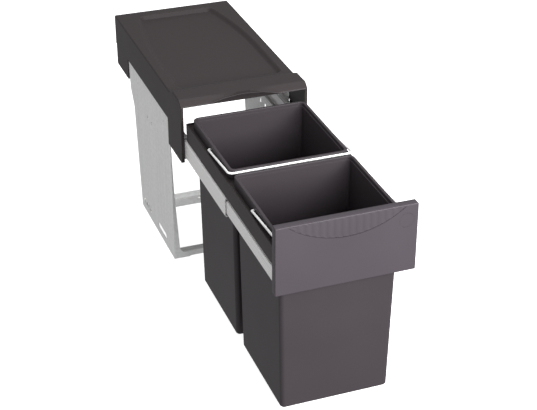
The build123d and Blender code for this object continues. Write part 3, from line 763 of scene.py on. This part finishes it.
def tub_section(size, low, high, half_x, half_y):
    """The bin's section as rows of half width, half depth, corner radius and height.

    It runs from the foot's middle outside, round the turned-down rim, to the floor's middle inside.
    """
    wall, over, corner, edge, lip = in_mm(size, "wall", "overhang", "corner", "foot_edge", "step")
    tapers = in_mm(size, "side_taper", "end_taper")
    rim_height, step_drop = in_mm(size, "rim_height", "step_drop")
    neck, flare, crown, fillet, half_wall = 3.5, 1.5, 1.2, 6, 1
    rim = (half_x, half_y, 13.0)

    def at(z, inset):
        fall = (high - z) / (high - low)
        body = (half - over - taper * fall - inset for half, taper in zip(rim, tapers))
        return spread(*body, np.maximum(corner - inset, 1.0), z)

    turn = quarter_turn(8)
    sine, versine, coversine = np.sin(turn), 1 - np.cos(turn), 1 - np.sin(turn)
    foot = at(low + edge * versine, edge * coversine)
    side = at(np.linspace(low + edge, high - neck, 7)[1:], 0)
    under = at(high - neck + flare * sine, -flare * versine)
    fold = high - rim_height + half_wall
    half_turn = np.radians(np.linspace(0, 180, 9))
    inside_rim = spread(*(part - 2 * half_wall for part in rim), np.array([high - 2, high - 4, fold]))
    rim_foot = spread(
        *(part - half_wall - half_wall * np.cos(half_turn) for part in rim),
        fold - half_wall * np.sin(half_turn),
    )
    up = spread(*rim, np.array([high - 8, high - crown]))
    top_out = spread(*(part - crown * versine for part in rim), high - crown + crown * sine)
    top_in = at(high - crown * versine, wall - lip - crown * coversine)
    drop = high - step_drop
    step = at(
        drop + np.array([1.0, 0.35, 0.0, -0.2, -1.0]),
        wall - lip + lip * np.array([0, 0.1, 0.5, 0.95, 1.0]),
    )
    inner = at(np.linspace(drop - 3, low + wall + fillet, 7), wall)
    floor = at(low + wall + fillet * coversine, wall + fillet * versine)
    return np.concatenate([foot, side, under, inside_rim, rim_foot, up, top_out, top_in, step, inner, floor])


def build_bin(name, box, size):
    """A bin: its section carried round a rounded rectangle, with flat faces for foot and floor."""
    low, high = box[0].z / MM, box[1].z / MM
    middle = (box[0] + box[1]) / 2 / MM
    half = (box[1] - box[0]) / 2 / MM
    section = tub_section(size, low, high, half.x, half.y)
    x, y = round_loop(section[:, :1], section[:, 1:2], section[:, 2:3])
    points = spread(x, y + middle.y, section[:, 3:])
    shell = Shell()
    shell.grid(points, wrap=True)
    shell.face(points[0], flip=True)
    shell.face(points[-1])
    obj = shell.build(name, outward=True)
    weigh(obj)
    return obj


def weigh(obj):
    """Lets the large faces rule the shading, so that flat walls stay flat beside their rounded edges."""
    weighted = obj.modifiers.new("Shading", "WEIGHTED_NORMAL")
    weighted.keep_sharp = True
    weighted.weight = 100


# Front panel and grip


def rounded_corners(x, z, half_x, half_z, radius):
    """Maps a rectangle's grid into rounded corners.

    Inside each corner square a point keeps its larger offset as its distance from the corner's centre.
    """
    over_x = np.clip(np.abs(x) - half_x + radius, 0, None)
    over_z = np.clip(np.abs(z) - half_z + radius, 0, None)
    far = np.hypot(over_x, over_z)
    shrink = np.where(far > 0, np.maximum(over_x, over_z) / np.where(far > 0, far, 1), 1)
    inside = (over_x > 0) & (over_z > 0)
    moved_x = np.where(inside, np.sign(x) * (half_x - radius + over_x * shrink), x)
    moved_z = np.where(inside, np.sign(z) * (half_z - radius + over_z * shrink), z)
    return moved_x, moved_z


def panel_sheet(size):
    """The panel's front as one grid whose rows follow the grip's arc, and its rim back to the rear."""
    low, high = PANEL[0].z / MM, PANEL[1].z / MM
    half_x, half_z = PANEL[1].x / MM, (high - low) / 2
    front, back = PANEL[0].y / MM, PANEL[1].y / MM
    bevel, chord, sag = in_mm(size, "bevel", "grip_chord", "grip_sag")
    # Distances of the rows on either side of the arc, the pocket's head room and its least height
    under, brink, over, head, least = 0.7, 0.15, 0.1, 0.3, 0.4
    pocket_rows = 6
    rim = np.array([0, 0.06, 0.2, 0.45, 0.75, 1.1, 1.5]) / 1.5 * bevel
    x = np.concatenate([half_x - rim, np.linspace(half_x - bevel, 0, 52)[1:]])
    x = np.concatenate([-x[:-1], x[::-1]])[None, :]
    top = high - bevel
    arc = np.minimum(top - bow_height(x, chord, sag), top - least)
    level = np.linspace(0, 1, 22)[:, None]
    z = np.concatenate(
        [
            low + rim[:-1, None] + 0 * x,
            low + bevel + (arc - under - low - bevel) * level,
            arc - brink,
            arc + over + (top - head - arc - over) * np.linspace(0, 1, pocket_rows)[:, None],
            np.full_like(x, top - over),
            high - rim[::-1, None] + 0 * x,
        ]
    )
    x = np.broadcast_to(x, z.shape)
    depth = np.zeros_like(z)
    start = len(rim) + len(level)
    depth[start : start + pocket_rows] = size.grip_depth / MM * ease((top - least - arc) / 3)
    edge = np.minimum(half_x - np.abs(x), np.minimum(z - low, high - z))
    roll = bevel - round_off(bevel - edge, bevel)
    middle = (low + high) / 2
    moved_x, moved_z = rounded_corners(x, z - middle, half_x, half_z, size.corner / MM)
    sheet = spread(moved_x, front + np.maximum(roll, depth), moved_z + middle)
    border = np.concatenate([sheet[0], sheet[1:, -1], sheet[-1, -2::-1], sheet[-2:0:-1, 0]])
    rear = border.copy()
    rear[:, 1] = back
    return sheet, np.stack([border, rear])


def grip_sheet(size):
    """The grip's ribbed face: a lens between the arc and the panel's top, with cosine grooves across it."""
    bevel, chord, sag, pitch, depth = in_mm(size, "bevel", "grip_chord", "grip_sag", "rib_pitch", "rib_depth")
    high = PANEL[1].z / MM - bevel
    front = PANEL[0].y / MM
    # The gap round the grip, how far it lies behind the panel's front, and how its edge turns in
    gap, behind, turned, margin = 0.6, 0.12, 0.25, 0.06
    half = chord / 2 - 2 * gap
    x = np.linspace(-half, half, 177)[None, :]
    low = np.minimum(high - bow_height(x, chord, sag) + gap, high - gap)
    level = np.concatenate([[0, 0.02], np.linspace(margin, 1 - margin, 12), [0.98, 1]])[:, None]
    wave = 0.5 + 0.5 * np.cos(2 * np.pi * x / pitch)
    groove = depth * wave**1.5
    tall = ease((high - gap - low) / 6)
    ends = ease(np.minimum(level, 1 - level) / margin)
    y = front + behind + groove * tall * ends + turned * (1 - ends)
    return spread(x, y, low + (high - gap - low) * level)


# Bails


def bent_path(points, radii, steps=10):
    """A line of points with arcs at its corners.

    Each arc starts and ends at the radius times the tangent of half the turn from its corner.
    """
    points = np.asarray(points, float)
    path = [points[:1]]
    for before, corner, after, radius in zip(points, points[1:], points[2:], radii):
        back = (before - corner) / np.linalg.norm(before - corner)
        on = (after - corner) / np.linalg.norm(after - corner)
        turn = np.pi - np.arccos(np.clip(back @ on, -1, 1))
        reach = radius * np.tan(turn / 2)
        bisector = (back + on) / np.linalg.norm(back + on)
        centre = corner + bisector * radius / np.cos(turn / 2)
        start = corner + back * reach - centre
        end = corner + on * reach - centre
        angle = np.linspace(0, 1, steps + 1)[:, None] * turn
        path.append(centre + (np.sin(turn - angle) * start + np.sin(angle) * end) / np.sin(turn))
    path.append(points[-1:])
    return np.concatenate(path)


def tube(path, radius, sides):
    """A round bar along a path: at each point a ring of radius times cosine and sine.

    Each ring lies in the plane halfway between the two runs that meet there.
    """
    tangent = np.gradient(path, axis=0)
    tangent /= np.linalg.norm(tangent, axis=1)[:, None]
    up = np.array([0.0, 0.0, 1.0])
    across = np.cross(tangent, up)
    across /= np.linalg.norm(across, axis=1)[:, None]
    upward = np.cross(across, tangent)
    angle = np.linspace(0, 2 * np.pi, sides, endpoint=False)
    ring = np.cos(angle)[None, :, None] * across[:, None] + np.sin(angle)[None, :, None] * upward[:, None]
    return path[:, None] + radius * ring


# Slides

MIDDLE_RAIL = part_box("right_middle_rail")
DRAWER_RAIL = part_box("right_drawer_rail")


def raced(x, z, ball_x, ball_z, radius, side):
    """A surface's height with a groove for a ball: a circle about the ball's middle."""
    reach = round_off(np.abs(x - ball_x), radius)
    cut = np.minimum(z, ball_z - reach) if side < 0 else np.maximum(z, ball_z + reach)
    return np.where(reach > 0, cut, z)


def both_halves(upper, face_x, size):
    """A section's upper half, the line rolled in its outer face, and the upper half mirrored below."""
    level, bead = -size.bead_level / MM, size.bead / MM
    wide, narrow = 1.4, 0.7
    line = np.array([[0, wide], [-bead, narrow], [-bead, -narrow], [0, -wide]]) + [face_x, level]
    return np.concatenate([upper, line, upper[::-1] * [1, -1]])


def middle_section(size):
    """The middle rail's outer and inner lines, from the upper lip's edge round the web to the lower lip's."""
    edge, face = MIDDLE_RAIL[0].x / MM, MIDDLE_RAIL[1].x / MM
    half, drawer_half = half_height(MIDDLE_RAIL), half_height(DRAWER_RAIL)
    bend, sheet, race, lift, inset = in_mm(size, "middle_round", "sheet", "race", "ball_lift", "ball_inset")
    ball = face - inset
    turn = np.radians(np.linspace(90, 0, 14))
    x = np.concatenate([np.linspace(edge, face - bend, 14)[:-1], face - bend + bend * np.cos(turn)])
    curve = half - bend + round_off(x - face + bend, bend)
    outer = spread(x, raced(x, curve, ball, half + lift, race, -1))
    x = np.minimum(x, face - sheet)
    curve = half - bend + round_off(x - face + bend, bend - sheet)
    flat = raced(x, np.full_like(x, drawer_half + 2 * lift), ball, drawer_half + lift, race, 1)
    inner = spread(x, np.minimum(curve, flat))
    outer = both_halves(outer, face, size)
    inner = both_halves(inner, face - sheet, size)
    inner[:, 0] = np.minimum(inner[:, 0], face - sheet)
    return outer, inner


def drawer_section(size):
    """The drawer rail's outer line, a closed box with a well rounded face, and the same line drawn in."""
    back, face = DRAWER_RAIL[0].x / MM, DRAWER_RAIL[1].x / MM
    half = half_height(DRAWER_RAIL)
    bend, sheet, race, lift, inset = in_mm(size, "drawer_round", "sheet", "race", "ball_lift", "ball_inset")
    ball = MIDDLE_RAIL[1].x / MM - inset
    tight = 1
    rear = arc_points((back + tight, half - tight), tight, 180, 90, 5)
    front = arc_points((face - bend, half - bend), bend, 90, 0, 14)
    upper = np.concatenate([[[back, 0]], rear, front])
    upper[:, 1] = raced(upper[:, 0], upper[:, 1], ball, half + lift, race, -1)
    upper[-1, 1] = half - bend
    outer = both_halves(upper, face, size)[:-1]
    middle = np.array([(back + face) / 2, 0])
    inner = middle + (outer - middle) * [1 - 2 * sheet / (face - back), 1 - sheet / half]
    return outer, inner


def build_rail(name, section, box, side, closed):
    """A rail: its outer and inner lines carried along it, joined at the ends and at any open lips."""
    level = mid_height(box)
    near, far = box[0].y / MM, box[1].y / MM
    outer, inner = section
    rows = [
        spread(side * points[:, 0], y, points[:, 1] + level)
        for points, y in ((outer, near), (outer, far), (inner, far), (inner, near))
    ]
    shell = Shell()
    shell.grid(np.stack(rows + rows[:1]), wrap=closed)
    if not closed:
        for column in (0, -1):
            shell.face([row[column] for row in rows])
    obj = shell.build(name, outward=True, weld=FINE_WELD)
    weigh(obj)
    return obj


# Places of the panel's bosses, in shares of its width
BOSS_SHARES = (-0.42, -0.16, 0.16, 0.42)


def build_bosses(size):
    """The four screw bosses behind the panel: rings from the panel's inner face to its open rear."""
    wall, radius = in_mm(size, "wall", "boss")
    front, back = PANEL[0].y / MM + wall, PANEL[1].y / MM
    hole, draft = 2.2, 0.4
    level = mid_height(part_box("panel_screws"))
    angle = np.radians(np.arange(0, 360, 15))
    profile = [(radius + draft, front), (radius, back), (hole, back), (hole, front)]
    shell = Shell()
    for boss in BOSS_SHARES:
        middle = boss * 2 * PANEL[1].x / MM
        rows = [spread(middle + far * np.cos(angle), y, level + far * np.sin(angle)) for far, y in profile]
        shell.grid(np.stack(rows + rows[:1]), wrap=True)
    return shell.build("panel_bosses", outward=True)


# Operators


class BINFRAME_OT_slides(bpy.types.Operator):
    """Rolls the middle rails and the drawer rails with their rounded lips and ball races"""

    bl_idname = "bin_frame.slides"
    bl_label = "Roll Slides"

    def execute(self, context):
        size = context.scene.bin_frame_slide
        steel = rolled("slide_steel", context.scene.bin_frame_finish.rail_steel)
        for side, hand in ((-1, "left"), (1, "right")):
            for part, body, section, box, closed in (
                ("middle_rail", "middle_rails", middle_section(size), MIDDLE_RAIL, False),
                ("drawer_rail", "drawer", drawer_section(size), DRAWER_RAIL, True),
            ):
                obj = build_rail(f"{hand}_{part}_rolled", section, box, side, closed)
                wear(obj, steel)
                settle(obj, body, "slide_rail", f"{hand}_{part}")
        return {"FINISHED"}


class BINFRAME_OT_lid(bpy.types.Operator):
    """Builds the moulded lid with its tray, hood, finger scoop, skirts, front legs and rear tabs"""

    bl_idname = "bin_frame.lid"
    bl_label = "Build Lid"

    def execute(self, context):
        lid = context.scene.bin_frame_lid
        tones = context.scene.bin_frame_finish
        skin = lid_skin(lid)
        shell = Shell()
        shell.grid(skin)
        for side in (-1, 1):
            lid_side(shell, lid, skin, side)
            shell.face(rear_tab(side), flip=side < 0)
        obj = shell.build("lid_moulding")
        tint = np.array(tones.lid_plastic)
        wear(
            obj,
            moulded("lid_plastic", tint, tones.plastic_roughness),
            # The second material is the lid plastic darkened: painted shade inside the finger scoop
            moulded("scoop_painted_shade_plastic", tint * (1 - tones.scoop_painted_shade), roughness=0.7),
        )
        mark_scoop_painted_shade(obj, lid)
        thicken(obj, lid.wall)
        smooth(obj.data)
        weigh(obj)
        settle(obj, "frame", "cover", "cover")
        return {"FINISHED"}


def mark_scoop_painted_shade(obj, lid):
    """Gives the second material, whose darker colour is painted shade, to the faces inside the finger scoop.
    """
    x, y, z = (read_rows(obj.data.polygons, "center") / MM).T
    rise = bow_height(x, lid.scoop_width / MM, HOOD_TOP - LIP_BOTTOM)
    least_rise, below_lip = 1.2, 0.7
    inside = (rise > least_rise) & (y < NOSE_END) & (z < LIP_BOTTOM + rise - below_lip)
    obj.data.polygons.foreach_set("material_index", inside.astype(np.int32))


class BINFRAME_OT_bins(bpy.types.Operator):
    """Builds the two hanging bins with their turned-down rims"""

    bl_idname = "bin_frame.bins"
    bl_label = "Build Bins"

    def execute(self, context):
        size = context.scene.bin_frame_bin
        tones = context.scene.bin_frame_finish
        plastic = moulded("bin_plastic", tones.bin_plastic, tones.plastic_roughness)
        for node, box in (("rear_bin", REAR_BIN), ("front_bin", FRONT_BIN)):
            obj = build_bin(f"{node}_tub", box, size)
            wear(obj, plastic)
            settle(obj, node, "bin", node)
        return {"FINISHED"}


class BINFRAME_OT_panel(bpy.types.Operator):
    """Builds the front panel with its arc pocket and screw bosses, and the ribbed grip"""

    bl_idname = "bin_frame.panel"
    bl_label = "Build Front Panel"

    def execute(self, context):
        size = context.scene.bin_frame_panel
        tones = context.scene.bin_frame_finish
        sheet, edge = panel_sheet(size)
        shell = Shell()
        shell.grid(sheet)
        shell.grid(edge, flip=True, wrap=True)
        obj = shell.build("panel_moulding")
        ring = (tuple(size.mark_place), size.mark_radius)
        wear(obj, moulded("panel_plastic", tones.panel_plastic, tones.plastic_roughness, ring=ring))
        thicken(obj, size.wall)
        weigh(obj)
        settle(obj, "drawer", "panel", "front_panel")
        bosses = build_bosses(size)
        wear(bosses, moulded("boss_plastic", tones.panel_plastic, tones.plastic_roughness))
        settle(bosses, "drawer", "panel")
        lens = Shell()
        lens.grid(grip_sheet(size))
        grip = lens.build("grip_ribs")
        wear(grip, moulded("grip_plastic", tones.panel_plastic, tones.plastic_roughness + 0.05))
        grip_wall = 0.5 * MM
        thicken(grip, grip_wall)
        settle(grip, "drawer", "grip", "grip_insert")
        return {"FINISHED"}


class BINFRAME_OT_bails(bpy.types.Operator):
    """Bends the two coated wire bails"""

    bl_idname = "bin_frame.bails"
    bl_label = "Bend Bails"

    def execute(self, context):
        wire = context.scene.bin_frame_wire
        coat = coated("wire_coat", context.scene.bin_frame_finish.wire_coat)
        radius, bend = in_mm(wire, "radius", "bend")
        end_inset, tight = 3.25, radius + 0.3
        for name, bin_box in (("rear", REAR_BIN), ("front", FRONT_BIN)):
            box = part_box(f"{name}_bail")
            arm = box[1].x / MM - radius
            end = bin_box[1].x / MM - end_inset
            pivot_y = (bin_box[0].y + bin_box[1].y) / 2 / MM
            rod_y, rod_z = box[0].y / MM + radius, box[1].z / MM - radius
            pivot_z = box[0].z / MM + radius
            half = [(end, pivot_y, pivot_z), (arm, pivot_y, pivot_z), (arm, rod_y, rod_z)]
            points = [(-x, y, z) for x, y, z in half] + half[::-1]
            path = bent_path(points, [tight, bend, bend, tight])
            rings = tube(path, radius, wire.sides)
            shell = Shell()
            shell.grid(rings, wrap=True)
            shell.face(rings[0], flip=True)
            shell.face(rings[-1])
            obj = shell.build(f"{name}_bail_wire", outward=True)
            wear(obj, coat)
            settle(obj, f"{name}_bail", "bail_wire", f"{name}_bail")
        return {"FINISHED"}


class BINFRAME_OT_carrier(bpy.types.Operator):
    """Gives the bin carrier its moulded finish"""

    bl_idname = "bin_frame.carrier"
    bl_label = "Finish Carrier"

    def execute(self, context):
        tones = context.scene.bin_frame_finish
        wear(
            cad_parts["bin_carrier"],
            moulded("carrier_plastic", tones.lid_plastic, tones.plastic_roughness),
        )
        return {"FINISHED"}


class BINFRAME_OT_steel(bpy.types.Operator):
    """Gives the sheet steel, rails, cages, balls, screws and buffers their finishes"""

    bl_idname = "bin_frame.steel"
    bl_label = "Finish Steel"

    def execute(self, context):
        tones = context.scene.bin_frame_finish
        sheet = galvanised("galvanised_sheet", tones.galvanised)
        rail = rolled("rail_steel", tones.rail_steel)
        cage = rolled("cage_steel", tones.cage_steel, 0.4)
        ball = polished("ball_steel", tones.rail_steel)
        screw = polished("screw_steel", tones.rail_steel)
        buffer = rubbery("buffer_rubber", tones.rubber)
        finishes = {
            "side_plate": sheet,
            "crossbar": sheet,
            "cabinet_rail": rail,
            "ball_cage": cage,
            "balls": ball,
            "rivets": screw,
            "screws": screw,
            "buffers": buffer,
        }
        for ending, material in finishes.items():
            for name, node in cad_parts.items():
                if name.endswith(ending):
                    wear(node, material)
        return {"FINISHED"}


class BINFRAME_OT_stage(bpy.types.Operator):
    """Sets the pale floor, the soft studio light and the camera"""

    bl_idname = "bin_frame.stage"
    bl_label = "Set Stage"

    def execute(self, context):
        studio = context.scene.bin_frame_studio
        tone = context.scene.bin_frame_finish.floor
        reach, level = 9, -0.0003
        corners = [(x * reach, y * reach, level) for x, y in ((-1, -1), (1, -1), (1, 1), (-1, 1))]
        mesh = bpy.data.meshes.new("floor")
        mesh.from_pydata(corners, [], [[0, 1, 2, 3]])
        floor = add_object("floor", mesh)
        finish = Finish("floor")
        cloud = finish.noise(finish.place, 0.6, 1)
        wear(
            floor,
            finish.surface(
                Base_Color=finish.shaded(tone, 0.99, 1.01, cloud),
                Roughness=0.9,
                Specular_IOR_Level=0.0,
                Emission_Color=(1, 1, 1, 1),
                Emission_Strength=studio.floor_glow,
            ),
        )
        floor.visible_diffuse = False
        floor.visible_glossy = False
        for name, place, aim, size, power in (
            ("front_light", (0.7, -2.5, 1.25), (0, -0.6, 0.3), (2.0, 0.9), studio.front_light),
            ("top_light", (0.3, 0.2, 3.0), (0, -0.2, 0.3), (3.0, 3.0), studio.top_light),
            ("side_light", (-2.6, -0.3, 1.0), (0, -0.2, 0.2), (2.0, 1.6), studio.side_light),
        ):
            add_light(name, place, aim, size, power)
        world = bpy.data.worlds.new("studio")
        world.use_nodes = True
        backdrop = world.node_tree.nodes["Background"]
        backdrop.inputs["Color"].default_value = (1, 1, 1, 1)
        backdrop.inputs["Strength"].default_value = studio.sky
        context.scene.world = world
        context.scene.view_settings.view_transform = "Standard"
        camera = add_object("camera", bpy.data.cameras.new("camera"))
        camera.data.lens = studio.lens
        camera.data.sensor_fit = "HORIZONTAL"
        camera.data.clip_end = 60
        camera.matrix_world = facing(studio.camera_place, studio.camera_aim)
        context.scene.camera = camera
        return {"FINISHED"}


def facing(place, aim):
    """The matrix of something that stands at one point and looks at another."""
    turn = (Vector(aim) - Vector(place)).to_track_quat("-Z", "Y").to_matrix().to_4x4()
    return Matrix.Translation(Vector(place)) @ turn


def add_light(name, place, aim, size, power):
    """A soft rectangular light that the camera doesn't see."""
    data = bpy.data.lights.new(name, "AREA")
    data.shape = "RECTANGLE"
    data.size, data.size_y = size
    data.energy = power
    light = add_object(name, data)
    light.matrix_world = facing(place, aim)
    light.visible_camera = False


class BINFRAME_PT_panel(bpy.types.Panel):
    """Lists the steps that build the pull out bin frame"""

    bl_idname = "BINFRAME_PT_panel"
    bl_label = "Pull Out Bin Frame"
    bl_space_type = "VIEW_3D"
    bl_region_type = "UI"
    bl_category = "Bin Frame"

    def draw(self, context):
        for step in STEPS:
            self.layout.operator(step.bl_idname)
        for group in GROUPS:
            box = self.layout.box()
            box.label(text=group.replace("bin_frame_", "").title())
            settings = getattr(context.scene, group)
            for name in settings.__annotations__:
                box.prop(settings, name)


GROUPS = {
    "bin_frame_finish": BinFrameFinish,
    "bin_frame_lid": BinFrameLid,
    "bin_frame_bin": BinFrameBin,
    "bin_frame_panel": BinFramePanel,
    "bin_frame_wire": BinFrameWire,
    "bin_frame_slide": BinFrameSlide,
    "bin_frame_studio": BinFrameStudio,
}
STEPS = (
    BINFRAME_OT_stage,
    BINFRAME_OT_slides,
    BINFRAME_OT_lid,
    BINFRAME_OT_bins,
    BINFRAME_OT_panel,
    BINFRAME_OT_bails,
    BINFRAME_OT_carrier,
    BINFRAME_OT_steel,
)
CLASSES = (*GROUPS.values(), *STEPS, BINFRAME_PT_panel)


def register():
    for each in CLASSES:
        bpy.utils.register_class(each)
    for name, group in GROUPS.items():
        setattr(bpy.types.Scene, name, PointerProperty(type=group))


def unregister():
    for name in GROUPS:
        delattr(bpy.types.Scene, name)
    for each in reversed(CLASSES):
        bpy.utils.unregister_class(each)


def main():
    register()
    for step in STEPS:
        space, action = step.bl_idname.split(".")
        getattr(getattr(bpy.ops, space), action)()


if __name__ == "__main__":
    main()
